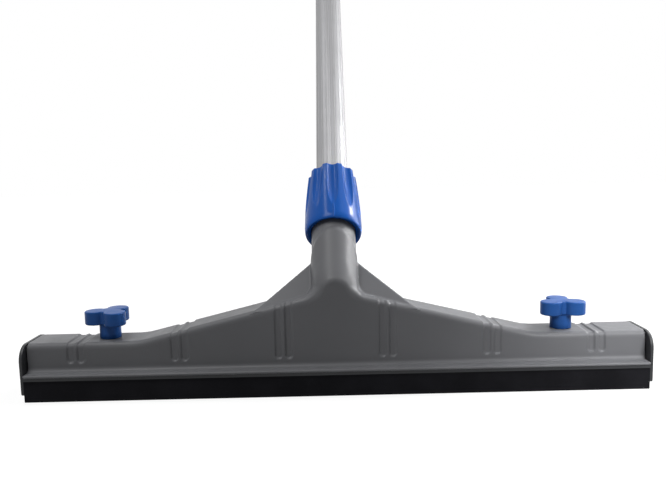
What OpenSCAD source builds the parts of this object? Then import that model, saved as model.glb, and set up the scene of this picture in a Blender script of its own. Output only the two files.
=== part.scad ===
// Floor squeegee: moulded head with a clamped blade carrier, two star knobs,
// a leaning handle socket with a screw collar, and a ribbed aluminium handle.
// Millimetres. X runs along the head, +Y points to the back, +Z is up.
// The origin is the middle of the plane in which the blades meet the floor.

/* [Head shell] */
// Length of the head over both end plates
head_l = 450; // [400:5:600]
// Front-to-back size over the upright walls
wall_span = 32; // [30:0.5:40]
// Wall thickness of the moulding
shell_t = 2.5; // [2:0.1:3.2]
// Height of the flat roof ends above the underside of the lip
shell_h = 22.8; // [22:0.2:30]
// How far the lip stands out from each wall
lip_flare = 10; // [9:0.5:14]
// Thickness of the lip
lip_t = 2.2; // [1.6:0.1:2.8]
// Fillet between lip and wall
lip_fillet = 3; // [1:0.5:4]
// Radius of the shoulder between wall and roof
shoulder_r = 5; // [4:0.5:8]
// Rise of the roof from its flat ends to the foot of the socket
hump_rise = 28.7; // [22:0.5:34]
// Distance from the middle at which the rise is reached
hump_top = 24; // [20:1:30]
// Distance from a knob's axis to the foot of the slope
hump_clear = 23.7; // [18:0.5:30]
// Thickness of the stiffening ribs inside the hump
inner_rib_t = 2; // [1.5:0.1:3]
// Spacing of the stiffening ribs inside the hump
inner_rib_pitch = 38; // [30:1:60]

/* [Wall grooves] */
// Spacing of the groove pairs along the head
groove_pitch = 75; // [60:1:100]
// Width of one groove
groove_w = 4.8; // [3:0.1:6]
// Land between the two grooves of a pair
groove_land = 2.6; // [1.5:0.1:5]
// Depth of a groove
groove_depth = 0.5; // [0.3:0.1:1.2]
// Plain wall kept between the lip fillet and the groove ends
groove_foot = 3; // [1:0.5:6]
// Plain wall kept beyond the last groove at each end
groove_margin = 15; // [8:1:30]

/* [Socket] */
// Outside diameter of the handle socket
socket_d = 34; // [32.5:0.5:38]
// Lean of the socket back from the vertical, in degrees
lean = 45; // [35:1:55]
// Height of the socket axis above the foot of the socket
socket_lift = 6.5; // [3:0.5:12]
// Length of the socket along its axis, from the middle of the head
socket_l = 72.6; // [60:1:100]
// Margin between the socket's floor and the front wall
floor_margin = 1; // [0:0.5:4]
// Fillet between socket sides and roof
root_fillet = 12; // [6:1:16]
// How far the fillet starts ahead of the socket axis
flare_lead = 6; // [0:1:12]
// Depth to which that fillet runs into the roof
root_sink = 0.8; // [0.5:0.1:1.5]
// How far the block under the socket stays behind the walls
block_set = 0.4; // [0.2:0.1:1]
// Thickness of the web plates beside the socket
web_t = 3; // [2:0.1:4]
// Reach of each web plate from the side of the socket
web_reach = 34; // [20:1:44]
// Distance along the socket axis to the top corner of the web plates
web_top = 20; // [12:0.5:26]
// How far the web plates lie behind the socket axis
web_set = 2; // [0:0.5:5]
// Depth to which the web plates run into the roof
web_sink = 1.4; // [1:0.1:2]
// Thickness of the rib under the back of the socket
back_rib_t = 4; // [3:0.5:6]

/* [Blade carrier] */
// Thickness of the carrier flange under the lip
flange_t = 2.2; // [1.6:0.1:3]
// How far the flange edge stays inside the lip edge
flange_inset = 1; // [0.5:0.1:2]
// Wall thickness of the carrier tongue and backing webs
carrier_t = 2; // [1.6:0.1:3]
// Height of the tongue above the flange
tongue_h = 16; // [15:0.5:18]
// Thickness of the clamped web on top of the tongue
clamp_web_t = 3; // [2.5:0.1:4]
// How far the backing webs reach below the flange
backing_h = 10; // [6:0.5:12]

/* [Blades] */
// Height of the blades below the flange
blade_h = 15.8; // [14:0.2:30]
// Thickness of one blade
blade_t = 10; // [8:0.5:11]
// How far the outer blade faces stay inside the lip edge
blade_inset = 2; // [1.5:0.5:4]
// Radius along the lower edges of a blade
blade_edge_r = 1; // [0.5:0.1:2]

/* [End plates] */
// Thickness of an end plate
plate_t = 2; // [1.5:0.1:4]
// How far the side edges of a plate stay inside the lip edge
plate_inset = 2; // [1:0.5:4]
// Radius of the upper corners of an end plate
plate_r = 11.5; // [8:0.5:13]
// Radius of the lower corners of an end plate
plate_foot_r = 2; // [1:0.5:4]
// Height of the plate's lower edge above the floor
plate_foot = 5; // [2:0.5:10]
// Length of the plug that holds the plate in the carrier
plate_plug_l = 12; // [8:1:20]

/* [Knobs and studs] */
// Distance from the end of the head to a knob's axis
knob_inset = 58.5; // [50:0.5:75]
// Distance from the knob's axis to the middle of a lobe
lobe_at = 9.9; // [8:0.1:12]
// Radius of a lobe
lobe_r = 7.7; // [5:0.1:8]
// Number of lobes
lobe_count = 3; // [3:1:5]
// Thickness of the lobed head
knob_head_h = 9.8; // [7:0.1:14]
// Rounding of the lobe edges
lobe_edge_r = 1.6; // [0.8:0.1:2.5]
// Diameter of the stem
stem_d = 15.3; // [12:0.1:18]
// Height of the stem
stem_h = 10.8; // [8:0.1:16]
// Turn of the left knob at rest, in degrees
left_knob_turn = 39; // [0:1:119]
// Turn of the right knob at rest, in degrees
right_knob_turn = 59; // [0:1:119]
// Diameter of the threaded stud
stud_d = 6; // [5:0.5:8]
// Length of the stud below the roof
stud_reach = 20.8; // [18:0.2:22]
// Length of the stud inside the knob
stud_hold = 15; // [10:0.5:17]
// Outside diameter of the retaining ring under the roof
ring_d = 12; // [10:0.5:16]
// Thickness of the retaining ring
ring_t = 1; // [0.8:0.1:1.5]
// Width of the mouth of the retaining ring
ring_mouth = 4; // [3:0.1:4.6]
// Depth of the ring's groove in the stud
ring_groove = 0.6; // [0.4:0.1:1]
// Size of the captive nut across its flats
nut_af = 10; // [9:0.5:13]
// Height of the captive nut
nut_h = 5; // [4:0.1:6.5]
// Wall of the carrier round the captive nut
nut_wall = 3; // [2:0.5:4]

/* [Collar and clamp ring] */
// Length of the collar
collar_l = 60.4; // [58:0.2:80]
// How far the collar covers the socket
collar_overlap = 25; // [20:0.5:30]
// Diameter of the collar at its widest, near the lower rim
collar_d = 44.8; // [43.6:0.2:50]
// Diameter of the collar at its upper rim
collar_top_d = 39; // [38:0.2:41]
// Height of the widest place above the lower rim
collar_belly = 6; // [4:0.5:10]
// Rounding of the lower rim, measured inwards
collar_foot = 1.4; // [1:0.2:4.6]
// Edge break of the upper rim
collar_rim = 0.8; // [0.4:0.1:1.2]
// Number of finger flutes
flute_count = 10; // [8:1:12]
// Radius of a finger flute across its width
flute_r = 6.4; // [4:0.1:7]
// Depth of a flute at the upper rim
flute_depth = 1.6; // [1:0.1:2.4]
// Bend radius of a flute's floor along the collar
flute_bend = 230; // [200:1:300]
// Slope of a flute's floor at the upper rim
flute_taper = 0.01; // [0:0.01:0.04]
// Turn of the flutes about the socket axis, in degrees
flute_turn = 19; // [0:1:35]
// Length of the clamp ring
clamp_l = 22; // [16:1:26]
// Wall of the clamp ring at its thin upper end
clamp_t = 1.9; // [1.4:0.1:2.2]
// Width of the slit in the clamp ring
clamp_slit = 3; // [1:0.5:6]

/* [Handle] */
// Outside diameter of the handle tube
tube_d = 26; // [24:0.2:26.4]
// Wall thickness of the handle tube
tube_t = 1.4; // [1.2:0.1:2]
// Length of the handle tube
tube_l = 1380; // [600:10:1600]
// Number of grooves along the tube
tube_flutes = 20; // [8:1:24]
// Radius of a groove along the tube
tube_flute_r = 0.6; // [0.3:0.1:0.8]
// Depth of a groove along the tube
tube_flute_depth = 0.3; // [0.1:0.05:0.4]
// Flange of the plug in the lower end of the tube
plug_t = 2; // [1.5:0.1:4]
// Length of that plug inside the tube
plug_l = 14; // [10:1:25]
// Outside diameter of the hand grip
grip_d = 31; // [29.5:0.5:36]
// Length of the grip that sits on the tube
grip_l = 110; // [80:5:150]
// Length of the closed end above the tube
grip_end = 34; // [28:1:45]
// Diameter of the hanging hole
hang_d = 9; // [6:0.5:12]
// Number of finger rings on the grip
grip_rings = 6; // [3:1:9]
// Radius of a finger ring's section
grip_ring_r = 2; // [1:0.2:4]
// Depth of a finger ring
grip_ring_depth = 1; // [0.4:0.1:1.2]

/* [Clearances] */
// Between pieces that move past each other
run_gap = 0.3; // [0.2:0.05:0.5]
// Radial play of a running fit
fit_gap = 0.05; // [0.02:0.01:0.1]
// Between a moving piece and the face it rests on
seat_gap = 0.1; // [0.05:0.05:0.3]

/* [Hidden] */
$fn = 96;
// Overshoot of a cutting shape past the face that it cuts
cut = 1;

shell_grey = "#6e7073";
carrier_black = "#232427";
rubber_black = "#17181a";
knob_blue = "#2c5cae";
tube_silver = "#c6c9cb";
steel = "#b4b8bc";

carrier_half = head_l / 2 - plate_t;
shell_half = carrier_half - run_gap;
lip_z = blade_h + flange_t;
roof_z = lip_z + shell_h;
wall_y = wall_span / 2;
cavity_y = wall_y - shell_t;
block_y = wall_y - block_set;
lip_y = wall_y + lip_flare;
knob_x = head_l / 2 - knob_inset;
hump_half = knob_x - hump_clear;
slope = atan2(hump_rise, hump_half - hump_top);
hump_h = hump_rise + shell_h;
groove_z = lip_z + lip_t + lip_fillet + groove_foot;

socket_r = socket_d / 2;
socket_z = roof_z + hump_rise + socket_lift;
bore_r = tube_d / 2 + run_gap;
// The bore stops where its front edge still leaves a full front wall
bore_floor = (bore_r * cos(lean) - cavity_y) / sin(lean) + floor_margin;
web_foot_x = socket_r + web_reach;

tongue_y = cavity_y - run_gap;
tongue_z = lip_z + tongue_h;
blade_out_y = lip_y - blade_inset;
blade_in_y = blade_out_y - blade_t;

nut_z = tongue_z - clamp_web_t - nut_h;
nut_r = nut_af / 2 / cos(30);
stud_r = stud_d / 2;
ring_z = roof_z - shell_t - seat_gap - ring_t;

collar_s = socket_l - collar_overlap;
clamp_s = socket_l + seat_gap;
clamp_low_r = socket_r;
clamp_high_r = tube_d / 2 + fit_gap + clamp_t;
tube_s = bore_floor + seat_gap + plug_t;
tube_end_s = tube_s + tube_l;

// Height of the sloping roof at a distance from the middle
function roof_at(x) = roof_z + (hump_half - x) * tan(slope);

// Turns the local Z axis onto the socket axis, at a distance along it
module on_socket_axis(s) {
    translate([0, 0, socket_z])
        rotate([-lean, 0, 0])
            translate([0, 0, s])
                children();
}

// Carries a section drawn in Y and Z along X
module along_x(length) {
    rotate([90, 0, 90])
        linear_extrude(length)
            children();
}

module both_ends() {
    children();
    mirror([1, 0, 0])
        children();
}

// Section of a roof with rounded shoulders, its top at zero
module roof_section(half, radius, depth) {
    translate([-half, -depth])
        square([2 * half, depth - radius]);
    translate([-half + radius, -depth])
        square([2 * (half - radius), depth]);
    for (side = [-1, 1])
        translate([side * (half - radius), -radius])
            circle(radius);
}

// Lip with round edges and a fillet up to each wall
module lip_section() {
    edge_r = lip_t / 2;
    translate([-lip_y + edge_r, lip_z])
        square([2 * (lip_y - edge_r), lip_t]);
    for (side = [-1, 1]) {
        translate([side * (lip_y - edge_r), lip_z + edge_r])
            circle(edge_r);
        mirror([side < 0 ? 1 : 0, 0])
            translate([wall_y, lip_z + lip_t])
                difference() {
                    square(lip_fillet);
                    translate([lip_fillet, lip_fillet])
                        circle(lip_fillet);
                }
    }
}

// Head without its lip, set in from the outer surface and lengthened at both ends
module hump_body(inset, over) {
    half = wall_y - inset;
    radius = shoulder_r - inset;
    slope_l = hump_half / cos(slope) + hump_rise;
    translate([-shell_half - over, 0, roof_z - inset])
        along_x(2 * (shell_half + over))
            roof_section(half, radius, shell_h - inset);
    both_ends()
        intersection() {
            translate([hump_half, 0, roof_z])
                rotate([0, slope, 0])
                    translate([-slope_l, 0, -inset])
                        along_x(slope_l + shell_h)
                            roof_section(half, radius, hump_h);
            translate([0, -wall_span, roof_z - shell_h / 2])
                cube([head_l, 2 * wall_span, 2 * hump_h]);
        }
}

// Pairs of grooves that wrap over the walls and the roof
module groove_pairs() {
    first = groove_pitch / 2;
    step = (groove_w + groove_land) / 2;
    difference() {
        for (x = [first : groove_pitch : shell_half - groove_margin])
            for (place = [-x - step, -x + step, x - step, x + step])
                translate([place, wall_y + cut, groove_z + groove_w / 2])
                    rotate([90, 0, 0])
                        linear_extrude(wall_span + 2 * cut) {
                            circle(groove_w / 2);
                            translate([-groove_w / 2, 0])
                                square([groove_w, hump_h + cut]);
                        }
        hump_body(groove_depth, cut);
    }
}

// Leaning tube, the block under it and the fillets to the roof
module socket_outside() {
    low_s = -(block_y + socket_r * cos(lean)) / sin(lean);
    intersection() {
        on_socket_axis(low_s)
            cylinder(h = socket_l - low_s, r = socket_r);
        translate([-socket_d, -block_y, lip_z + shell_t])
            cube([2 * socket_d, socket_l + wall_span, socket_z + socket_l]);
    }
    intersection() {
        translate([0, block_y, 0])
            rotate([90, 0, 0])
                linear_extrude(2 * block_y)
                    block_outline();
        translate([-head_l / 2, 0, 0])
            along_x(head_l)
                polygon([
                    [-wall_y, lip_z],
                    [wall_y, lip_z],
                    [wall_y, socket_z + flare_lead + wall_y / tan(lean)],
                    [-wall_y, socket_z + flare_lead - wall_y / tan(lean)]
                ]);
    }
}

// Front view of the block, whose fillets run a little way into the roof
module block_outline() {
    centre_x = socket_r + root_fillet;
    centre_z = roof_at(centre_x) + root_fillet / cos(slope) - root_sink;
    translate([-socket_r, lip_z + shell_t])
        square([socket_d, socket_z]);
    difference() {
        translate([-centre_x, roof_z])
            square([2 * centre_x, centre_z - roof_z]);
        for (x = [-centre_x, centre_x])
            translate([x, centre_z])
                circle(root_fillet);
    }
}

// Distance along the socket axis at which a web plate meets the roof
function web_roof_s(x) = (roof_at(x) - socket_z + web_set * sin(lean)) / cos(lean);

// Web plates that lean with the socket, and the rib under the back of the socket
module socket_webs() {
    foot_s = web_roof_s(web_foot_x) - web_sink;
    top_x = socket_r - shell_t;
    on_socket_axis(0)
        translate([0, web_set + web_t / 2, 0])
            rotate([90, 0, 0])
                linear_extrude(web_t)
                    polygon([
                        [-web_foot_x, foot_s],
                        [0, web_roof_s(0) - web_sink],
                        [web_foot_x, foot_s],
                        [top_x, web_top],
                        [-top_x, web_top]
                    ]);
    rib_s = collar_s - socket_r / 2;
    rib_y = rib_s * sin(lean) + socket_r * cos(lean);
    rib_z = socket_z + rib_s * cos(lean) - socket_r * sin(lean);
    translate([-back_rib_t / 2, 0, 0])
        along_x(back_rib_t)
            polygon([
                [cavity_y, roof_z],
                [block_y, roof_z],
                [rib_y, rib_z],
                [rib_y - socket_r * cos(lean), rib_z + socket_r * sin(lean)],
                [cavity_y, socket_z]
            ]);
}

// Hollow of the shell, less the socket cup and the stiffening ribs
module shell_hollow() {
    difference() {
        union() {
            hump_body(shell_t, cut);
            translate([-shell_half - cut, -cavity_y, lip_z - cut])
                cube([2 * (shell_half + cut), 2 * cavity_y, cut + lip_t]);
        }
        on_socket_axis(bore_floor - shell_t)
            cylinder(h = socket_l, r = socket_r);
        for (x = [inner_rib_pitch : inner_rib_pitch : hump_half - inner_rib_pitch / 2])
            for (place = [-x, x])
                translate([place - inner_rib_t / 2, -wall_y, roof_z - shell_t])
                    cube([inner_rib_t, wall_span, hump_h]);
    }
}

module head_shell() {
    color(shell_grey)
        difference() {
            union() {
                difference() {
                    hump_body(0, 0);
                    groove_pairs();
                }
                translate([-shell_half, 0, 0])
                    along_x(2 * shell_half)
                        lip_section();
                socket_outside();
                socket_webs();
            }
            shell_hollow();
            on_socket_axis(bore_floor)
                cylinder(h = 2 * socket_l, r = bore_r);
            for (x = [-knob_x, knob_x])
                translate([x, 0, roof_z - shell_t - cut])
                    cylinder(h = shell_t + 2 * cut, r = stud_r + run_gap);
        }
}

// Flange, hollow tongue and backing webs of the extruded carrier
module carrier_section() {
    flange_y = lip_y - flange_inset;
    translate([-flange_y, blade_h])
        square([2 * flange_y, flange_t]);
    difference() {
        translate([-tongue_y, lip_z - flange_t])
            square([2 * tongue_y, tongue_h + flange_t]);
        translate([-tongue_y + carrier_t, lip_z])
            square([2 * (tongue_y - carrier_t), tongue_h - clamp_web_t]);
    }
    for (y = [-blade_in_y, blade_in_y - carrier_t])
        translate([y, blade_h - backing_h])
            square([carrier_t, backing_h + flange_t]);
}

module blade_carrier() {
    boss_half = nut_r + run_gap + nut_wall;
    color(carrier_black)
        difference() {
            union() {
                translate([-carrier_half, 0, 0])
                    along_x(2 * carrier_half)
                        carrier_section();
                for (x = [-knob_x, knob_x])
                    translate([x - boss_half, -tongue_y, blade_h])
                        cube([2 * boss_half, 2 * tongue_y, tongue_z - blade_h]);
            }
            for (x = [-knob_x, knob_x]) {
                translate([x, 0, blade_h - cut])
                    cylinder(h = nut_z + nut_h - blade_h + cut, r = nut_r + seat_gap, $fn = 6);
                translate([x, 0, nut_z])
                    cylinder(h = tongue_h, r = stud_r + run_gap);
            }
        }
}

// Outline of an end plate with large upper and small lower corners
module plate_section() {
    plate_y = lip_y - plate_inset;
    for (y = [-plate_y + plate_r, plate_y - plate_r])
        translate([y, roof_z - plate_r])
            circle(plate_r);
    for (y = [-plate_y + plate_foot_r, plate_y - plate_foot_r])
        translate([y, plate_foot + plate_foot_r])
            circle(plate_foot_r);
    translate([-plate_y + plate_r, plate_foot])
        square([2 * (plate_y - plate_r), roof_z - plate_foot]);
    translate([-plate_y, plate_foot + plate_foot_r])
        square([2 * plate_y, roof_z - plate_r - plate_foot - plate_foot_r]);
    translate([-plate_y + plate_foot_r, plate_foot])
        square([2 * (plate_y - plate_foot_r), plate_foot_r]);
}

// One end plate, standing to the right of the carrier's right end
module end_plate() {
    plug_y = tongue_y - carrier_t;
    plug_h = tongue_h - clamp_web_t;
    color(carrier_black) {
        translate([carrier_half, 0, 0])
            along_x(plate_t)
                plate_section();
        translate([carrier_half - plate_plug_l, 0, lip_z])
            along_x(plate_plug_l + plate_t)
                translate([-plug_y + seat_gap, seat_gap])
                    square([2 * (plug_y - seat_gap), plug_h - 2 * seat_gap]);
    }
}

module left_end_plate() {
    mirror([1, 0, 0])
        end_plate();
}

module right_end_plate() {
    end_plate();
}

// Moss rubber strip with softened lower edges, on the front side
module blade() {
    color(rubber_black)
        translate([-carrier_half, 0, 0])
            along_x(2 * carrier_half) {
                translate([-blade_out_y, blade_edge_r])
                    square([blade_t, blade_h - blade_edge_r]);
                translate([-blade_out_y + blade_edge_r, 0])
                    square([blade_t - 2 * blade_edge_r, blade_h]);
                for (y = [-blade_out_y + blade_edge_r, -blade_in_y - blade_edge_r])
                    translate([y, blade_edge_r])
                        circle(blade_edge_r);
            }
}

module front_blade() {
    blade();
}

module rear_blade() {
    mirror([0, 1, 0])
        blade();
}

// Lobe with a rounded upper and lower edge
module lobe() {
    rotate_extrude() {
        square([lobe_r - lobe_edge_r, knob_head_h]);
        translate([0, lobe_edge_r])
            square([lobe_r, knob_head_h - 2 * lobe_edge_r]);
        for (z = [lobe_edge_r, knob_head_h - lobe_edge_r])
            translate([lobe_r - lobe_edge_r, z])
                circle(lobe_edge_r);
    }
}

// Star knob on a round stem, bored for the stud
module star_knob(turn) {
    color(knob_blue)
        difference() {
            union() {
                cylinder(h = stem_h + lobe_edge_r, d = stem_d);
                translate([0, 0, stem_h]) {
                    cylinder(h = knob_head_h - lobe_edge_r / 2, r = lobe_at - lobe_edge_r);
                    for (k = [0 : lobe_count - 1])
                        rotate(turn - 90 + k * 360 / lobe_count)
                            translate([lobe_at, 0, 0])
                                lobe();
                }
            }
            translate([0, 0, -cut])
                cylinder(h = stud_hold + cut, r = stud_r);
        }
}

module left_knob() {
    translate([-knob_x, 0, roof_z + seat_gap])
        star_knob(left_knob_turn);
}

module right_knob() {
    translate([knob_x, 0, roof_z + seat_gap])
        star_knob(right_knob_turn);
}

// Stud moulded into the knob, with a groove for its retaining ring
module stud() {
    low = roof_z - stud_reach;
    color(steel)
        difference() {
            translate([0, 0, low])
                cylinder(h = roof_z + seat_gap + stud_hold - low, r = stud_r);
            translate([0, 0, ring_z - seat_gap / 2])
                difference() {
                    cylinder(h = ring_t + seat_gap, r = stud_d);
                    translate([0, 0, -cut])
                        cylinder(h = ring_t + seat_gap + 2 * cut, r = stud_r - ring_groove);
                }
        }
}

module left_stud() {
    translate([-knob_x, 0, 0])
        stud();
}

module right_stud() {
    translate([knob_x, 0, 0])
        stud();
}

// Open spring ring that keeps the stud in the roof
module retaining_ring() {
    inner_r = stud_r - ring_groove + fit_gap;
    color(steel)
        translate([0, 0, ring_z])
            difference() {
                cylinder(h = ring_t, d = ring_d);
                translate([0, 0, -cut])
                    cylinder(h = ring_t + 2 * cut, r = inner_r);
                translate([0, -ring_mouth / 2, -cut])
                    cube([ring_d, ring_mouth, ring_t + 2 * cut]);
            }
}

module left_retaining_ring() {
    translate([-knob_x, 0, 0])
        retaining_ring();
}

module right_retaining_ring() {
    translate([knob_x, 0, 0])
        retaining_ring();
}

// Hexagon nut pressed up against the clamped web of the carrier
module nut() {
    color(steel)
        translate([0, 0, nut_z])
            difference() {
                cylinder(h = nut_h, r = nut_r, $fn = 6);
                translate([0, 0, -cut])
                    cylinder(h = nut_h + 2 * cut, r = stud_r + fit_gap);
            }
}

module left_nut() {
    translate([-knob_x, 0, 0])
        nut();
}

module right_nut() {
    translate([knob_x, 0, 0])
        nut();
}

// One finger flute, whose floor follows the bell and runs out at the belly
module flute() {
    floor_r = collar_top_d / 2 - flute_depth;
    lead = 5;
    reach = asin(min(1, collar_l / flute_bend));
    translate([floor_r + flute_bend, 0, collar_l + flute_bend * flute_taper])
        rotate([90, 0, 0])
            rotate(180 - lead)
                rotate_extrude(angle = lead + reach)
                    translate([flute_bend - flute_r, 0])
                        circle(flute_r);
}

// Bell-shaped screw collar with finger flutes
module locking_collar() {
    belly_r = collar_d / 2;
    top_r = collar_top_d / 2;
    bell_l = collar_l - collar_rim - collar_belly;
    cone_low = collar_overlap + seat_gap;
    rim_steps = 6;
    bell_steps = 14;
    rim = [for (k = [0 : rim_steps - 1]) let (a = 90 * k / rim_steps)
        [belly_r - collar_foot * (1 - sin(a)), collar_belly * (1 - cos(a))]];
    bell = [for (k = [0 : bell_steps]) let (t = k / bell_steps)
        [top_r + (belly_r - top_r) * cos(90 * t), collar_belly + bell_l * t]];
    inside = [
        [top_r - collar_rim, collar_l],
        [bore_r, collar_l],
        [bore_r, cone_low + clamp_l],
        [clamp_high_r + run_gap, cone_low + clamp_l],
        [clamp_low_r + run_gap, cone_low],
        [clamp_low_r + run_gap, 0]
    ];
    color(knob_blue)
        on_socket_axis(collar_s)
            difference() {
                rotate_extrude()
                    polygon(concat(rim, bell, inside));
                for (k = [0 : flute_count - 1])
                    rotate(flute_turn + k * 360 / flute_count)
                        flute();
            }
}

// Split cone that the collar presses onto the tube
module clamp_ring() {
    inner_r = tube_d / 2 + fit_gap;
    color(carrier_black)
        on_socket_axis(clamp_s)
            difference() {
                cylinder(h = clamp_l - run_gap, r1 = clamp_low_r, r2 = clamp_high_r);
                translate([0, 0, -cut])
                    cylinder(h = clamp_l + 2 * cut, r = inner_r);
                translate([-clamp_slit / 2, 0, -cut])
                    cube([clamp_slit, socket_d, clamp_l + 2 * cut]);
            }
}

// Drawn tube with shallow grooves along its outside
module handle_tube() {
    color(tube_silver)
        on_socket_axis(tube_s)
            linear_extrude(tube_l)
                difference() {
                    circle(d = tube_d);
                    circle(d = tube_d - 2 * tube_t);
                    for (k = [0 : tube_flutes - 1])
                        rotate(k * 360 / tube_flutes)
                            translate([tube_d / 2 - tube_flute_depth + tube_flute_r, 0])
                                circle(tube_flute_r);
                }
}

// Plug that closes the lower end of the tube and rests on the socket floor
module lower_plug() {
    color(carrier_black)
        on_socket_axis(tube_s - plug_t) {
            cylinder(h = plug_t, d = tube_d - 2 * tube_flute_depth);
            cylinder(h = plug_t + plug_l, d = tube_d - 2 * (tube_t + fit_gap));
        }
}

// Sleeve with finger rings, a domed end and a hanging hole
module hand_grip() {
    ring_pitch = grip_l / (grip_rings + 1);
    grip_r = grip_d / 2;
    color(knob_blue)
        on_socket_axis(tube_end_s - grip_l)
            difference() {
                union() {
                    cylinder(h = grip_l + grip_end - grip_r, r = grip_r);
                    translate([0, 0, grip_l + grip_end - grip_r])
                        sphere(grip_r);
                }
                translate([0, 0, -cut])
                    cylinder(h = grip_l + cut, r = tube_d / 2);
                for (k = [1 : grip_rings])
                    translate([0, 0, k * ring_pitch])
                        rotate_extrude()
                            translate([grip_r + grip_ring_r - grip_ring_depth, 0])
                                circle(grip_ring_r);
                translate([-grip_d, 0, grip_l + grip_end - grip_r])
                    rotate([0, 90, 0])
                        cylinder(h = 2 * grip_d, d = hang_d);
            }
}

head_shell();
blade_carrier();
left_end_plate();
right_end_plate();
front_blade();
rear_blade();
left_knob();
right_knob();
left_stud();
right_stud();
left_retaining_ring();
right_retaining_ring();
left_nut();
right_nut();
locking_collar();
clamp_ring();
handle_tube();
lower_plug();
hand_grip();
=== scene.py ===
import math

import bmesh
import bpy
import numpy as np
from mathutils import Matrix


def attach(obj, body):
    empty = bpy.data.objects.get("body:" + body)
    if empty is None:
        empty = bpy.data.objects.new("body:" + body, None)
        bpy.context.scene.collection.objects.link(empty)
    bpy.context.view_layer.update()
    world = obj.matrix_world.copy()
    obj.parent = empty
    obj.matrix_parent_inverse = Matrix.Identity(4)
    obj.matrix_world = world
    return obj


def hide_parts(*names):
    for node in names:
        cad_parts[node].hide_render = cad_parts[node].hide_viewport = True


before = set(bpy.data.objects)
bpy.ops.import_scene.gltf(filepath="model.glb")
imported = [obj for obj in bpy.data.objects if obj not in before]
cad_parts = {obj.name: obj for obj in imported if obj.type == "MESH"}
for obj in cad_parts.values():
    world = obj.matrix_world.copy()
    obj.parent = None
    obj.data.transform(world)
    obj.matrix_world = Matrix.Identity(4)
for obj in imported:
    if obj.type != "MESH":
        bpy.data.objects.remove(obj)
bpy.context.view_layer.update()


# Moulded head. One grey polypropylene moulding: an upside-down channel with a lip, a roof that
# rises to a leaning handle socket, wrapped grooves and web plates. Every outer edge is soft from
# the mould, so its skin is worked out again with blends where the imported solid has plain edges.
MM_PER_M = 1000
WELD = 1e-6

# Sizes in millimetres: ends and lip, walls and roof.
HEAD_HALF = 222.7
END_R = 0.5
LIP_Z = 18.0
LIP_T = 2.2
LIP_Y = 26.0
LIP_FILLET = 3.0
LIP_LOW_R = 1.0
WALL_Y = 16.0
ROOF_Z = 40.8
SHOULDER_R = 3.2
HUMP_HALF = 142.8
HUMP_RISE = 28.7
HUMP_RUN = 118.8
HUMP_SLOPE = math.atan2(HUMP_RISE, HUMP_RUN)
HUMP_SOFT = 1.6

# The socket, which leans back, and the flat tongue at the front of its block.
LEAN = math.radians(45)
SOCKET_Z = 76.0
SOCKET_R = 17.0
SOCKET_L = 72.6
SOCKET_RIM_R = 0.6
ROOT_FILLET = 6.0
BACK_FILLET = 3.0
TONGUE_R = 1.5
TONGUE_HALF = 9.5
TONGUE_TOP = 84.0
TONGUE_DRAFT = 1.2
TONGUE_SOFT = 3.0

# Pairs of grooves, at these distances from the middle. The inner pair fades out on the roof.
GROOVE_AT = (37.5, 112.5, 187.5)
GROOVE_STEP = 3.7
GROOVE_W = 4.8
GROOVE_DEPTH = 0.9
GROOVE_END = 28.6
GROOVE_SOFT = 0.55
GROOVE_FADE = (9.0, 14.5)

# Web plates, by distance from the middle and along the socket's axis, and the rib at the back.
WEB_TOP = (17.0, 22.4)
WEB_FOOT = (58.0, -20.1)
WEB_IN = 14.5
WEB_LOW = -6.0
WEB_T = 3.0
WEB_SET = 2.0
WEB_SINK = 1.0
WEB_FILLET = 1.2
WEB_R = 1.4
RIB_FOOT = 15.6
RIB_EDGE = (0.904, 0.428)
RIB_HALF = 2.0
RIB_TOP = 39.1
RIB_IN = 13.5

# How the cells of the skin are cut, which of their corners move, and how they settle. Corners in
# the flare of the socket block start deeper under the skin than elsewhere. SKIN_CELL is in
# metres, as are the widths of broken edges and the depths of bumps further down.
SKIN_CELL = 0.00122
FLARE_HALF = 32.0
FLARE_BACK = 6.0
FLARE_Z = 60.0
FLARE_DEPTH = 7.0
SKIN_DEPTH = 1.6
FACING_NEAR = -0.2
FACING_DEEP = 0.3
SLOPE_STEP = 0.05
LEAST_SLOPE = 0.2
SETTLE_STEPS = 6


def soft_min(a, b, k):
    """The smaller of two values, rounded off by up to a quarter of k where they meet."""
    return np.minimum(a, b) - np.maximum(k - np.abs(a - b), 0) ** 2 / (4 * k)


def round_corner(a, b, r):
    """Where two distances meet in an outer corner of radius r: the length of the parts of a + r
    and b + r above zero, less r, or the larger of the two deep inside."""
    u, v = a + r, b + r
    return np.hypot(np.maximum(u, 0), np.maximum(v, 0)) + np.minimum(np.maximum(u, v), 0) - r


def round_hollow(a, b, r):
    """Where two distances meet in an inner corner filled to radius r: the smaller one, kept above
    r, less the length of the parts of r - a and r - b above zero."""
    u, v = np.maximum(r - a, 0), np.maximum(r - b, 0)
    return np.maximum(np.minimum(a, b), r) - np.hypot(u, v)


def grooved(body, x, y, z):
    """The distance from the body with its grooves sunk in: each adds its depth times a smooth step,
    three squares less two cubes, of how far a point is inside the groove's edge."""
    fade = np.clip((np.abs(y) - GROOVE_FADE[0]) / (GROOVE_FADE[1] - GROOVE_FADE[0]), 0, 1)
    for middle in GROOVE_AT:
        for place in (middle - GROOVE_STEP, middle + GROOVE_STEP):
            off = np.hypot(x - place, np.minimum(z - GROOVE_END, 0))
            step = np.clip((GROOVE_W / 2 + GROOVE_SOFT - off) / (2 * GROOVE_SOFT), 0, 1)
            if middle < WEB_FOOT[0]:
                step = step * fade
            body = body + GROOVE_DEPTH * step * step * (3 - 2 * step)
    return body


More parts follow.
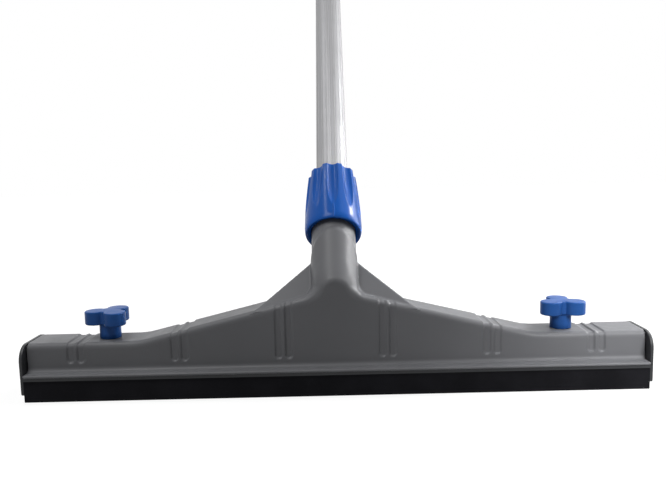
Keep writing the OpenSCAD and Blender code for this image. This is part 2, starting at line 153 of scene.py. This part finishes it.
def head_skin(points):
    """Distance in millimetres of each point from the head's outer skin. Roof and socket block
    meet in a fillet, the walls cut them with a round shoulder, the grooves sink into that, and
    the lip, the leaning tube, the webs and the rib are added."""
    x, y, z = np.abs(points[:, 0]), points[:, 1], points[:, 2]
    slope = (z - ROOF_Z - (HUMP_HALF - x) * math.tan(HUMP_SLOPE)) * math.cos(HUMP_SLOPE)
    roof = soft_min(z - ROOF_Z, slope, HUMP_SOFT)
    along = y * math.sin(LEAN) + (z - SOCKET_Z) * math.cos(LEAN)
    above = (z - SOCKET_Z) * math.sin(LEAN) - y * math.cos(LEAN)
    block = np.hypot(x, np.maximum(above, 0)) - SOCKET_R
    tongue = np.hypot(x, np.maximum(z - TONGUE_TOP + TONGUE_HALF, 0)) - TONGUE_HALF
    front = round_hollow(roof, tongue, ROOT_FILLET) - TONGUE_DRAFT * (y + WALL_Y)
    front = front / math.hypot(1, TONGUE_DRAFT)
    edge = TONGUE_R + (SHOULDER_R - TONGUE_R) * np.minimum(x / (2 * TONGUE_HALF), 1)
    mass = round_corner(round_hollow(roof, block, ROOT_FILLET), front, TONGUE_SOFT)
    body = grooved(round_corner(mass, np.abs(y) - WALL_Y, edge), x, y, z)
    lip = round_corner(z - LIP_Z - LIP_T, np.abs(y) - LIP_Y, LIP_T / 2)
    skin = round_corner(round_hollow(body, lip, LIP_FILLET), LIP_Z - z, LIP_LOW_R)
    skin = round_corner(skin, x - HEAD_HALF, END_R)
    tube = round_corner(np.hypot(x, above) - SOCKET_R, front, TONGUE_SOFT)
    tube = round_corner(tube, -y - WALL_Y, edge)
    tube = round_corner(tube, along - SOCKET_L, SOCKET_RIM_R)
    skin = round_hollow(skin, tube, BACK_FILLET * np.clip(y / WALL_Y, 0, 1))
    run = WEB_FOOT[0] - WEB_TOP[0]
    drop = WEB_TOP[1] - WEB_FOOT[1]
    outer = ((x - WEB_TOP[0]) * drop + (along - WEB_TOP[1]) * run) / math.hypot(run, drop)
    web = round_corner(outer, np.abs(above + WEB_SET) - WEB_T / 2, WEB_R)
    web = np.maximum(web, -roof - WEB_SINK)
    back = (y - RIB_FOOT) * RIB_EDGE[0] - (z - ROOF_Z) * RIB_EDGE[1]
    rib = round_corner(back, x - RIB_HALF, WEB_R)
    rib = np.maximum(np.maximum(rib, above), along - RIB_TOP)
    rib = np.maximum(rib, np.maximum(RIB_IN - y, ROOF_Z - z))
    return np.minimum(round_hollow(skin, web, WEB_FILLET), rib)


def skin_slope(points):
    """Gradient of head_skin at each point, by central differences of SLOPE_STEP each way."""
    steps = SLOPE_STEP * np.eye(3)
    rises = [head_skin(points + step) - head_skin(points - step) for step in steps]
    return np.stack(rises, 1) / (2 * SLOPE_STEP)


def placed(name, data):
    """A new object with that data in the scene, at the origin and unturned."""
    piece = bpy.data.objects.new(name, data)
    bpy.context.scene.collection.objects.link(piece)
    return piece


def merged_copy(name, node, more):
    """A new object with the node's mesh, its loose triangles joined at their corners, and the meshes
    in more."""
    grown = bmesh.new()
    grown.from_mesh(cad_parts[node].data)
    bmesh.ops.remove_doubles(grown, verts=grown.verts, dist=WELD)
    for added in more:
        grown.from_mesh(added)
    mesh = bpy.data.meshes.new(name)
    grown.to_mesh(mesh)
    grown.free()
    return placed(name, mesh)


def web_plate(sign):
    """One web plate as a mesh: four corners in the plane beside the socket's axis, given by their
    distance from the middle and along the axis, at both faces of the plate."""
    out, along = np.array([(WEB_IN, WEB_TOP[1]), WEB_TOP, WEB_FOOT, (WEB_IN, WEB_LOW)]).T
    above = np.array([[-WEB_T / 2], [WEB_T / 2]]) - WEB_SET
    side = sign * out + 0 * above
    back = along * math.sin(LEAN) - above * math.cos(LEAN)
    up = SOCKET_Z + along * math.cos(LEAN) + above * math.sin(LEAN)
    corners = np.stack([side, back, up], -1).reshape(-1, 3) / MM_PER_M
    faces = [(3, 2, 1, 0), (4, 5, 6, 7), (0, 1, 5, 4), (1, 2, 6, 5), (2, 3, 7, 6), (3, 0, 4, 7)]
    mesh = bpy.data.meshes.new("web_plate")
    mesh.from_pydata(corners.tolist(), [], faces)
    return mesh


def vertex_rows(mesh, value):
    """A row of three numbers for each vertex of the mesh: its co or its normal."""
    rows = np.empty(3 * len(mesh.vertices))
    mesh.vertices.foreach_get(value, rows)
    return rows.reshape(-1, 3)


def moulded_head():
    """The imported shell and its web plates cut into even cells, whose outer corners then slide along
    the gradient of head_skin until they lie on it. Inner faces stay as they are."""
    piece = merged_copy("moulded_head", "head_shell", (web_plate(-1), web_plate(1)))
    cells = piece.modifiers.new("cells", "REMESH")
    cells.mode = "VOXEL"
    cells.voxel_size = SKIN_CELL
    cells.adaptivity = 0.0
    mesh = bpy.data.meshes.new_from_object(piece.evaluated_get(bpy.context.evaluated_depsgraph_get()))
    piece.modifiers.remove(cells)
    piece.data = mesh
    points = vertex_rows(mesh, "co") * MM_PER_M
    flare = (np.abs(points[:, 0]) < FLARE_HALF) & (points[:, 1] < FLARE_BACK) & (points[:, 2] > FLARE_Z)
    near = np.flatnonzero(head_skin(points) > np.where(flare, -FLARE_DEPTH, -SKIN_DEPTH))
    moved = points[near]
    least = np.where(head_skin(moved) > -GROOVE_DEPTH, FACING_NEAR, FACING_DEEP)
    facing = np.einsum("ij,ij->i", vertex_rows(mesh, "normal")[near], skin_slope(moved)) > least
    near = near[facing]
    moved = moved[facing]
    for _ in range(SETTLE_STEPS):
        slope = skin_slope(moved)
        steep = np.maximum((slope * slope).sum(1), LEAST_SLOPE)
        moved = moved - slope * (head_skin(moved) / steep)[:, None]
    points[near] = moved
    mesh.vertices.foreach_set("co", (points / MM_PER_M).ravel())
    mesh.polygons.foreach_set("use_smooth", np.ones(len(mesh.polygons), bool))
    mesh.update()
    normals = vertex_rows(mesh, "normal")
    slope = skin_slope(moved)
    normals[near] = slope / np.linalg.norm(slope, axis=1, keepdims=True)
    mesh.normals_split_custom_set_from_vertices(normals.tolist())
    return piece


def effect_group(name, takes, gives):
    """A new shader node group with a Vector input, a number input for each name in takes and a
    number output for each name in gives: the group with its input and output nodes."""
    group = bpy.data.node_groups.new(name, "ShaderNodeTree")
    group.interface.new_socket("Vector", in_out="INPUT", socket_type="NodeSocketVector")
    for label in takes:
        group.interface.new_socket(label, in_out="INPUT", socket_type="NodeSocketFloat")
    for label in gives:
        group.interface.new_socket(label, in_out="OUTPUT", socket_type="NodeSocketFloat")
    return group, group.nodes.new("NodeGroupInput"), group.nodes.new("NodeGroupOutput")


def noise(tree, detail, scale=1.0, distortion=0.0):
    """A noise node with those values on its sockets."""
    node = tree.nodes.new("ShaderNodeTexNoise")
    node.inputs["Detail"].default_value = detail
    node.inputs["Scale"].default_value = scale
    node.inputs["Distortion"].default_value = distortion
    return node


def mould_grain():
    """Node group for the skin of a moulded plastic. Tone is a slow drift of colour from the flow
    of the melt, Gloss the drift of roughness, and Grain the height of the fine mould texture."""
    group, given, out = effect_group("mould_grain", ("Drift", "Fine"), ("Tone", "Gloss", "Grain"))
    slow = noise(group, detail=3.0)
    fine = noise(group, detail=2.0)
    scuff = noise(group, detail=6.0, scale=60.0, distortion=1.5)
    tie = group.links.new
    for node in (slow, fine, scuff):
        tie(given.outputs["Vector"], node.inputs["Vector"])
    tie(given.outputs["Drift"], slow.inputs["Scale"])
    tie(given.outputs["Fine"], fine.inputs["Scale"])
    tie(slow.outputs["Fac"], out.inputs["Tone"])
    tie(scuff.outputs["Fac"], out.inputs["Gloss"])
    tie(fine.outputs["Fac"], out.inputs["Grain"])
    return group


MOULD_GRAIN = mould_grain()
TONE_BAND = (0.35, 0.65)
GLOSS_BAND = (0.3, 0.7)


def node_material(name):
    """A new material that uses nodes: the material, its node tree and its shader."""
    material = bpy.data.materials.new(name)
    material.use_nodes = True
    return material, material.node_tree, material.node_tree.nodes["Principled BSDF"]


def two_tone(tree, band, dark, light):
    """A ramp node from the dark to the light colour over that band of its factor."""
    ramp = tree.nodes.new("ShaderNodeValToRGB")
    for stop, position, colour in zip(ramp.color_ramp.elements, band, (dark, light)):
        stop.position = position
        stop.color = (*colour, 1)
    return ramp


def map_range(tree, source, target):
    """A node that carries the range source to the range target in a straight line."""
    node = tree.nodes.new("ShaderNodeMapRange")
    node.inputs["From Min"].default_value, node.inputs["From Max"].default_value = source
    node.inputs["To Min"].default_value, node.inputs["To Max"].default_value = target
    return node


def moulded_plastic(name, dark, light, gloss, shine, drift=9.0, fine=2600.0, depth=0.00002):
    """Material of a moulded piece: colour between dark and light by Tone, roughness between the
    two values of gloss by Gloss, specular level shine, and a bump of that depth by Grain."""
    material, tree, shader = node_material(name)
    add, tie = tree.nodes.new, tree.links.new
    place = add("ShaderNodeTexCoord")
    grain = add("ShaderNodeGroup")
    grain.node_tree = MOULD_GRAIN
    grain.inputs["Drift"].default_value = drift
    grain.inputs["Fine"].default_value = fine
    tone = two_tone(tree, TONE_BAND, dark, light)
    rough = map_range(tree, GLOSS_BAND, gloss)
    bump = add("ShaderNodeBump")
    bump.inputs["Distance"].default_value = depth
    bump.inputs["Strength"].default_value = 0.6
    shader.inputs["Specular IOR Level"].default_value = shine
    tie(place.outputs["Object"], grain.inputs["Vector"])
    tie(grain.outputs["Tone"], tone.inputs["Fac"])
    tie(tone.outputs["Color"], shader.inputs["Base Color"])
    tie(grain.outputs["Gloss"], rough.inputs["Value"])
    tie(rough.outputs["Result"], shader.inputs["Roughness"])
    tie(grain.outputs["Grain"], bump.inputs["Height"])
    tie(bump.outputs["Normal"], shader.inputs["Normal"])
    return material


head = moulded_head()
grey_plastic = moulded_plastic("grey_plastic", (0.126, 0.128, 0.135), (0.146, 0.148, 0.157),
                               gloss=(0.36, 0.46), shine=0.16)
head.data.materials.clear()
head.data.materials.append(grey_plastic)
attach(head, "head")
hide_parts("head_shell")


# Blade carrier and end plates. The carrier is an extruded black plastic rail that the studs pull
# up against the lip. A moulded plate with rounded corners plugs into each end of it.
PLATE_EDGE = 0.0005
SHARP_ANGLE = math.radians(40)


def wear(node, material, soft=0.0):
    """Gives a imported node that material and, where soft is a length, breaks its sharp edges by it."""
    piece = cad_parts[node]
    piece.data.materials.clear()
    piece.data.materials.append(material)
    if soft:
        joined = piece.modifiers.new("joined", "WELD")
        joined.merge_threshold = WELD
        edge = piece.modifiers.new("edge", "BEVEL")
        edge.width = soft
        edge.segments = 2
        edge.limit_method = "ANGLE"
        edge.angle_limit = SHARP_ANGLE
        edge.harden_normals = True


black_plastic = moulded_plastic("black_plastic", (0.017, 0.018, 0.020), (0.024, 0.025, 0.028),
                                gloss=(0.38, 0.5), shine=0.3)
wear("blade_carrier", black_plastic)
wear("left_end_plate", black_plastic, PLATE_EDGE)
wear("right_end_plate", black_plastic, PLATE_EDGE)


# Rubber blades. Two strips of black moss rubber with open cells, bonded into the seats of the
# carrier. Their cut faces are dull and slightly uneven.
CELLS_PER_M = 1400.0
DUST_BAND = (0.4, 0.7)
PIT_DEPTH = 0.00015


def cut_cells():
    """Node group for a cut face of foamed rubber. Pits is the height over cells of the given Size
    per metre, with deep pores where a slower noise is high, and Dust a pale film left by use."""
    group, given, out = effect_group("cut_cells", ("Size",), ("Pits", "Dust"))
    add, tie = group.nodes.new, group.links.new
    cell = add("ShaderNodeTexVoronoi")
    film = noise(group, detail=5.0, scale=40.0)
    deep = add("ShaderNodeMath")
    deep.operation = "MULTIPLY"
    for node in (cell, film):
        tie(given.outputs["Vector"], node.inputs["Vector"])
    tie(given.outputs["Size"], cell.inputs["Scale"])
    tie(cell.outputs["Distance"], deep.inputs[0])
    tie(film.outputs["Fac"], deep.inputs[1])
    tie(deep.outputs["Value"], out.inputs["Pits"])
    tie(film.outputs["Fac"], out.inputs["Dust"])
    return group


def moss_rubber():
    """Material of the strips: near black, lifted a little by Dust, rough, with Pits as a bump."""
    material, tree, shader = node_material("moss_rubber")
    add, tie = tree.nodes.new, tree.links.new
    place = add("ShaderNodeTexCoord")
    cells = add("ShaderNodeGroup")
    cells.node_tree = cut_cells()
    cells.inputs["Size"].default_value = CELLS_PER_M
    tone = two_tone(tree, DUST_BAND, (0.006, 0.006, 0.0075), (0.011, 0.011, 0.0135))
    bump = add("ShaderNodeBump")
    bump.inputs["Distance"].default_value = PIT_DEPTH
    bump.inputs["Strength"].default_value = 0.5
    shader.inputs["Roughness"].default_value = 0.8
    shader.inputs["Specular IOR Level"].default_value = 0.08
    tie(place.outputs["Object"], cells.inputs["Vector"])
    tie(cells.outputs["Dust"], tone.inputs["Fac"])
    tie(tone.outputs["Color"], shader.inputs["Base Color"])
    tie(cells.outputs["Pits"], bump.inputs["Height"])
    tie(bump.outputs["Normal"], shader.inputs["Normal"])
    return material


rubber = moss_rubber()
for node in ("front_blade", "rear_blade"):
    wear(node, rubber)


# Star knobs. Blue plastic, three lobes on a round stem, each moulded over the head of its stud and
# turned by hand to let the carrier down.
KNOB_X = 166.5
KNOB_Z = 40.9
KNOB_TURN = {"left": -51, "right": -31}
KNOB_STEPS = 240
LOBES = 3
LOBE_AT = 9.9
LOBE_R = 7.7
LOBE_EDGE = 1.0
LOBE_STEPS = 9
HUB_R = 8.3
STAR_POWER = 20
STAR_H = 9.8
DOME_H = 0.35
DOME_STEPS = 12
STEM_R = 7.65
STEM_H = 10.8
STEM_SPLIT = 4.0
STEM_BEVEL = (0.5, 0.4)
STEM_FILLET = 0.9
STEM_STEPS = 7
STUD_R = 3.0
STUD_HOLD = 15.0
STUD_SPLIT = 8.0
POLE_WELD = 1e-7
knob_plastic = moulded_plastic("knob_plastic", (0.012, 0.066, 0.24), (0.018, 0.082, 0.29),
                               gloss=(0.3, 0.4), shine=0.14)


def grid_piece(name, points, material, ring):
    """A closed surface from points[i, j] in millimetres: i runs round the axis and j along the
    section, which closes on itself where ring is true and otherwise ends on the axis."""
    rows, cols = points.shape[:2]
    index = np.arange(rows * cols).reshape(rows, cols)
    ahead = np.roll(index, -1, 0)
    faces = np.stack([index, ahead, np.roll(ahead, -1, 1), np.roll(index, -1, 1)], -1)
    faces = faces[:, :cols if ring else cols - 1].reshape(-1, 4)
    mesh = bpy.data.meshes.new(name)
    mesh.from_pydata((points.reshape(-1, 3) / MM_PER_M).tolist(), [], faces.tolist())
    grown = bmesh.new()
    grown.from_mesh(mesh)
    bmesh.ops.remove_doubles(grown, verts=grown.verts, dist=POLE_WELD)
    grown.to_mesh(mesh)
    grown.free()
    mesh.polygons.foreach_set("use_smooth", np.ones(len(mesh.polygons), bool))
    mesh.materials.append(material)
    return placed(name, mesh)


def arc(start, stop, count):
    """Sine and cosine of count angles from start to stop, in degrees."""
    angle = np.radians(np.linspace(start, stop, count))
    return np.sin(angle), np.cos(angle)


def star_radius(angle, turn):
    """Radius of the star at each angle: for each lobe the far point of its circle on that ray,
    joined to the hub circle by the root of the sum of high powers, which follows the largest."""
    total = HUB_R ** STAR_POWER
    for lobe in range(LOBES):
        off = angle - math.radians(turn + 360 // LOBES * lobe)
        inside = LOBE_R ** 2 - (LOBE_AT * np.sin(off)) ** 2
        far = LOBE_AT * np.cos(off) + np.sqrt(np.maximum(inside, 0))
        met = (inside > 0) & (np.cos(off) > 0)
        total = total + np.where(met, np.maximum(far, 0), 0) ** STAR_POWER
    return total ** (1 / STAR_POWER)


def star_knob(side, sign):
    """The section starts on the axis at the end of the stud's hole, runs down the hole and up the
    stem, out along the underside to the star's radius, round its edge and over the top, which is
    domed by the square of the distance from the axis."""
    angle = np.linspace(0, 2 * math.pi, KNOB_STEPS, endpoint=False)[:, None]
    star = star_radius(angle, KNOB_TURN[side])
    top = STEM_H + STAR_H
    root_sin, root_cos = arc(0, 90, STEM_STEPS)
    edge_sin, edge_cos = arc(0, 90, LOBE_STEPS)
    inward = np.linspace(1, 0, DOME_STEPS)[1:]
    hole = np.array([[0.0, STUD_HOLD], [STUD_R, STUD_HOLD], [STUD_R, STUD_SPLIT], [STUD_R, 0.0]])
    stem = np.array([[STEM_R - STEM_BEVEL[0], 0.0], [STEM_R, STEM_BEVEL[1]], [STEM_R, STEM_SPLIT]])
    root_r = STEM_R + STEM_FILLET * (1 - root_cos)
    root_z = STEM_H - STEM_FILLET + STEM_FILLET * root_sin
    fixed = np.concatenate([hole, stem, np.stack([root_r, root_z], 1)])
    low_r = star - LOBE_EDGE * (1 - edge_sin)
    low_z = STEM_H + LOBE_EDGE * (1 - edge_cos)
    high_r = star - LOBE_EDGE * (1 - edge_cos)
    high_z = top - LOBE_EDGE * (1 - edge_sin)
    dome_r = (star - LOBE_EDGE) * inward
    dome_z = top + DOME_H * (1 - inward ** 2)
    full = np.ones_like(angle)
    radius = np.concatenate([full * fixed[:, 0], low_r, high_r, dome_r], 1)
    height = full * np.concatenate([fixed[:, 1], low_z, high_z, dome_z])
    across = sign * KNOB_X + radius * np.cos(angle)
    points = np.stack([across, radius * np.sin(angle), KNOB_Z + height], -1)
    knob = grid_piece(side + "_star_knob", points, knob_plastic, False)
    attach(knob, side + "_knob")
    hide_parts(side + "_knob")


star_knob("left", -1)
star_knob("right", 1)


# Studs, retaining rings and nuts. Zinc-plated steel: the screws of the knobs, the open rings that
# keep them in the roof, and the captive nuts in the carrier.
LINE_PULL = (900.0, 900.0, 4.0)


def drawn_lines():
    """Node group for a drawn or turned metal. Line is a noise pulled out along the third axis of
    Vector, Cloud a slow stain, both between zero and one."""
    group, given, out = effect_group("drawn_lines", (), ("Line", "Cloud"))
    tie = group.links.new
    pull = group.nodes.new("ShaderNodeMapping")
    pull.inputs["Scale"].default_value = LINE_PULL
    line = noise(group, detail=4.0)
    cloud = noise(group, detail=4.0, scale=30.0)
    tie(given.outputs["Vector"], pull.inputs["Vector"])
    tie(pull.outputs["Vector"], line.inputs["Vector"])
    tie(given.outputs["Vector"], cloud.inputs["Vector"])
    tie(line.outputs["Fac"], out.inputs["Line"])
    tie(cloud.outputs["Fac"], out.inputs["Cloud"])
    return group


DRAWN_LINES = drawn_lines()


def drawn_metal(name, dark, light, gloss, lean=0.0):
    """Metal whose lines run along the vertical tipped back by lean: colour between dark and light
    by Line, roughness between the two values of gloss by Cloud."""
    material, tree, shader = node_material(name)
    add, tie = tree.nodes.new, tree.links.new
    place = add("ShaderNodeTexCoord")
    turn = add("ShaderNodeMapping")
    turn.inputs["Rotation"].default_value = (lean, 0.0, 0.0)
    lines = add("ShaderNodeGroup")
    lines.node_tree = DRAWN_LINES
    tone = two_tone(tree, TONE_BAND, dark, light)
    rough = map_range(tree, GLOSS_BAND, gloss)
    shader.inputs["Metallic"].default_value = 1.0
    tie(place.outputs["Object"], turn.inputs["Vector"])
    tie(turn.outputs["Vector"], lines.inputs["Vector"])
    tie(lines.outputs["Line"], tone.inputs["Fac"])
    tie(tone.outputs["Color"], shader.inputs["Base Color"])
    tie(lines.outputs["Cloud"], rough.inputs["Value"])
    tie(rough.outputs["Result"], shader.inputs["Roughness"])
    return material


zinc = drawn_metal("zinc_plate", (0.42, 0.43, 0.42), (0.52, 0.52, 0.50), gloss=(0.3, 0.45))
for side in ("left", "right"):
    for node in ("stud", "retaining_ring", "nut"):
        wear(side + "_" + node, zinc)


# Locking collar and clamp ring. The collar is a blue bell with finger flutes that screws down over
# the socket. It presses the split black ring onto the tube.
COLLAR_S = 47.6
COLLAR_L = 60.4
COLLAR_STEPS = 720
BELLY_R = 22.4
BELLY_H = 6.0
BELL_STEPS = 60
FOOT_IN = 1.4
FOOT_STEPS = 12
TOP_R = 19.5
RIM_R = 0.8
RIM_STEPS = 7
FLUTES = 10
FLUTE_TURN = 19
FLUTE_R = 5.6
FLUTE_FLOOR = 17.3
FLUTE_BEND = 240.0
FLUTE_LEAD = 2.3
FLUTE_SOFT = 0.35
FLUTE_LEAVE = 6
SEAM_AT = 272
SEAM_W = 0.4
SEAM_H = 0.28

# Radius and height along the inside: the mouth, the bore over the socket, the cone that presses the
# ring, and the hole for the tube.
COLLAR_INSIDE = (
    (20.6, 0.1), (17.6, 1.9), (17.35, 2.2), (17.3, 2.6), (17.3, 12.0), (17.3, 25.1),
    (15.25, 47.1), (13.3, 47.1), (13.3, 59.9),
)


def collar_points():
    """Outside radius at each angle and height: a quarter wave from belly to rim with a low mould
    seam, cut by flutes that are circles of radius FLUTE_R whose floor rises with the square of the
    depth below the rim. The section runs up the stepped inside, out over the rim, down the
    outside and in round the foot."""
    angle = np.linspace(0, 2 * math.pi, COLLAR_STEPS, endpoint=False)[:, None]
    inside = np.array(COLLAR_INSIDE)
    rim_sin, rim_cos = arc(0, 90, RIM_STEPS)
    foot_sin, foot_cos = arc(90, 0, FOOT_STEPS)
    rim = COLLAR_L - RIM_R * (1 - rim_cos)
    bell = np.linspace(COLLAR_L - RIM_R, BELLY_H, BELL_STEPS)[1:]
    foot = BELLY_H * (1 - foot_cos[1:])
    height = np.concatenate([rim, bell, foot])
    back = np.concatenate([RIM_R * (1 - rim_sin), 0 * bell, FOOT_IN * (1 - foot_sin[1:])])
    rise = np.clip((height - BELLY_H) / (COLLAR_L - BELLY_H), 0, 1)
    radius = TOP_R + (BELLY_R - TOP_R) * np.cos(rise * math.pi / 2) + 0 * angle
    seam = (angle - math.radians(SEAM_AT)) * radius / SEAM_W
    radius = radius + SEAM_H * np.exp(-seam * seam)
    middle = FLUTE_FLOOR + (COLLAR_L - height + FLUTE_LEAD) ** 2 / (2 * FLUTE_BEND) + FLUTE_R
    pitch = 2 * math.pi / FLUTES
    off = (angle - math.radians(FLUTE_TURN) + pitch / 2) % pitch - pitch / 2
    reach = FLUTE_R ** 2 - (middle * np.sin(off)) ** 2
    flute = middle * np.cos(off) - np.sqrt(np.maximum(reach, 0))
    flute = flute + FLUTE_LEAVE * np.sqrt(np.maximum(-reach, 0))
    radius = soft_min(radius, flute, FLUTE_SOFT) - back
    radius = np.concatenate([inside[:, 0] + 0 * angle, radius], 1)
    along = COLLAR_S + np.concatenate([inside[:, 1], height]) + 0 * angle
    side = radius * np.sin(angle)
    tip = math.sin(LEAN)
    return np.stack([radius * np.cos(angle), (side + along) * tip, SOCKET_Z + (along - side) * tip], -1)


blue_plastic = moulded_plastic("blue_plastic", (0.006, 0.078, 0.35), (0.010, 0.096, 0.42),
                               gloss=(0.14, 0.22), shine=0.1)
collar = grid_piece("fluted_collar", collar_points()[::-1], blue_plastic, True)
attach(collar, "collar")
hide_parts("locking_collar")
wear("clamp_ring", black_plastic)


# Handle. A drawn aluminium tube with fine grooves, clamped in the socket, a black plug in its lower
# end and a blue moulded grip with a hanging hole pressed on its upper end.
GRIP_EDGE = 0.0003
aluminium = drawn_metal("drawn_aluminium", (0.245, 0.245, 0.25), (0.305, 0.305, 0.315),
                        gloss=(0.52, 0.64), lean=LEAN)
wear("handle_tube", aluminium)
wear("lower_plug", black_plastic)
wear("hand_grip", blue_plastic, GRIP_EDGE)


# Studio. A white floor and surround, six soft lamps, of which the one from the right is the
# strongest and a strip hangs over the left end, and the camera in front of the head, a little
# above it. The floor glows slightly less near the object, and only where it is looked at.
FLOOR_HALF = 4
FLOOR_NEAR = (0.25, 0.9)
FLOOR_GLOW = (0.78, 1.0)
FLOOR_GREY = 0.3
FILL_LIGHT = 0.15
WHITE = (1, 1, 1, 1)
CAMERA_AT = (-0.0006, -0.4927, 0.1635)
CAMERA_DOWN = 7.1
CAMERA_ROLL = -1.3
CAMERA_LENS = 36.76
CAMERA_SENSOR = 36.0
CAMERA_NEAREST = 0.01


def seen_level(tree, hidden, shown):
    """Value hidden for light that falls on things, and shown for the rays by which the camera,
    a reflection or a clear piece looks at the background."""
    tie = tree.links.new
    ray = tree.nodes.new("ShaderNodeLightPath")
    either = tree.nodes.new("ShaderNodeMath")
    any_ray = tree.nodes.new("ShaderNodeMath")
    either.operation = "MAXIMUM"
    any_ray.operation = "MAXIMUM"
    level = map_range(tree, (0.0, 1.0), (hidden, shown))
    tie(ray.outputs["Is Camera Ray"], either.inputs[0])
    tie(ray.outputs["Is Glossy Ray"], either.inputs[1])
    tie(either.outputs["Value"], any_ray.inputs[0])
    tie(ray.outputs["Is Transmission Ray"], any_ray.inputs[1])
    tie(any_ray.outputs["Value"], level.inputs["Value"])
    return level.outputs["Result"]


def pale_floor():
    """Material of the floor: a plain grey that takes shadow, with a white glow for the rays of
    seen_level, which grows in a straight line with the distance from the middle."""
    material, tree, shader = node_material("pale_floor")
    tie = tree.links.new
    shader.inputs["Base Color"].default_value = (FLOOR_GREY, FLOOR_GREY, FLOOR_GREY, 1)
    shader.inputs["Roughness"].default_value = 0.9
    shader.inputs["Specular IOR Level"].default_value = 0.0
    shader.inputs["Emission Color"].default_value = WHITE
    place = tree.nodes.new("ShaderNodeTexCoord")
    away = tree.nodes.new("ShaderNodeVectorMath")
    away.operation = "LENGTH"
    rise = map_range(tree, FLOOR_NEAR, FLOOR_GLOW)
    glow = tree.nodes.new("ShaderNodeMath")
    glow.operation = "MULTIPLY"
    tie(place.outputs["Object"], away.inputs[0])
    tie(away.outputs["Value"], rise.inputs["Value"])
    tie(rise.outputs["Result"], glow.inputs[0])
    tie(seen_level(tree, 0.0, 1.0), glow.inputs[1])
    tie(glow.outputs["Value"], shader.inputs["Emission Strength"])
    return material


def soft_lamp(name, watts, size, place, target, spread=180):
    """An area lamp of that size at place, turned to face target and not seen by the camera. Its
    light leaves within spread degrees."""
    data = bpy.data.lights.new(name, "AREA")
    data.shape = "RECTANGLE"
    data.energy = watts
    data.spread = math.radians(spread)
    data.size, data.size_y = size
    lamp = placed(name, data)
    lamp.location = place
    lamp.visible_camera = False
    away = np.array(place) - np.array(target)
    tilt = math.acos(away[2] / np.linalg.norm(away))
    lamp.rotation_euler = (tilt, 0, math.atan2(away[1], away[0]) + math.pi / 2)


corners = [(x * FLOOR_HALF, y * FLOOR_HALF, 0) for x, y in ((-1, -1), (1, -1), (1, 1), (-1, 1))]
floor_mesh = bpy.data.meshes.new("floor")
floor_mesh.from_pydata(corners, [], [(0, 1, 2, 3)])
floor_mesh.materials.append(pale_floor())
floor = placed("floor", floor_mesh)

world = bpy.data.worlds.new("white_surround")
world.use_nodes = True
surround = world.node_tree.nodes["Background"]
surround.inputs["Color"].default_value = WHITE
world.node_tree.links.new(seen_level(world.node_tree, FILL_LIGHT, 1.0), surround.inputs["Strength"])
bpy.context.scene.world = world

soft_lamp("upper_right", 3.0, (0.8, 0.8), (0.75, 0.35, 1.25), (0, 0, 0.05))
soft_lamp("near_right", 0.26, (0.16, 0.16), (0.31, -0.29, 0.28), (0.26, 0, 0.04), spread=56)
soft_lamp("front_left", 3.8, (0.4, 0.4), (-0.3, -0.3, 0.85), (-0.05, 0, 0.08))
soft_lamp("left_strip", 1.6, (0.6, 0.05), (-0.34, 0, 0.98), (-0.34, 0, 0))
soft_lamp("right_window", 12.0, (0.7, 0.7), (0.9, 0.38, 0.48), (0, 0, 0.1))
soft_lamp("right_glint", 0.11, (0.16, 0.16), (0.75, 0.39, 0.67), (0.04, 0.02, 0.095), spread=24)

camera = placed("photo_camera", bpy.data.cameras.new("photo_camera"))
camera.data.sensor_width = CAMERA_SENSOR
camera.data.lens = CAMERA_LENS
camera.data.clip_start = CAMERA_NEAREST
tip_down = Matrix.Rotation(math.radians(90 - CAMERA_DOWN), 4, "X")
roll = Matrix.Rotation(math.radians(CAMERA_ROLL), 4, "Z")
camera.matrix_world = Matrix.Translation(CAMERA_AT) @ tip_down @ roll
bpy.context.scene.camera = camera
bpy.context.scene.view_settings.view_transform = "Standard"
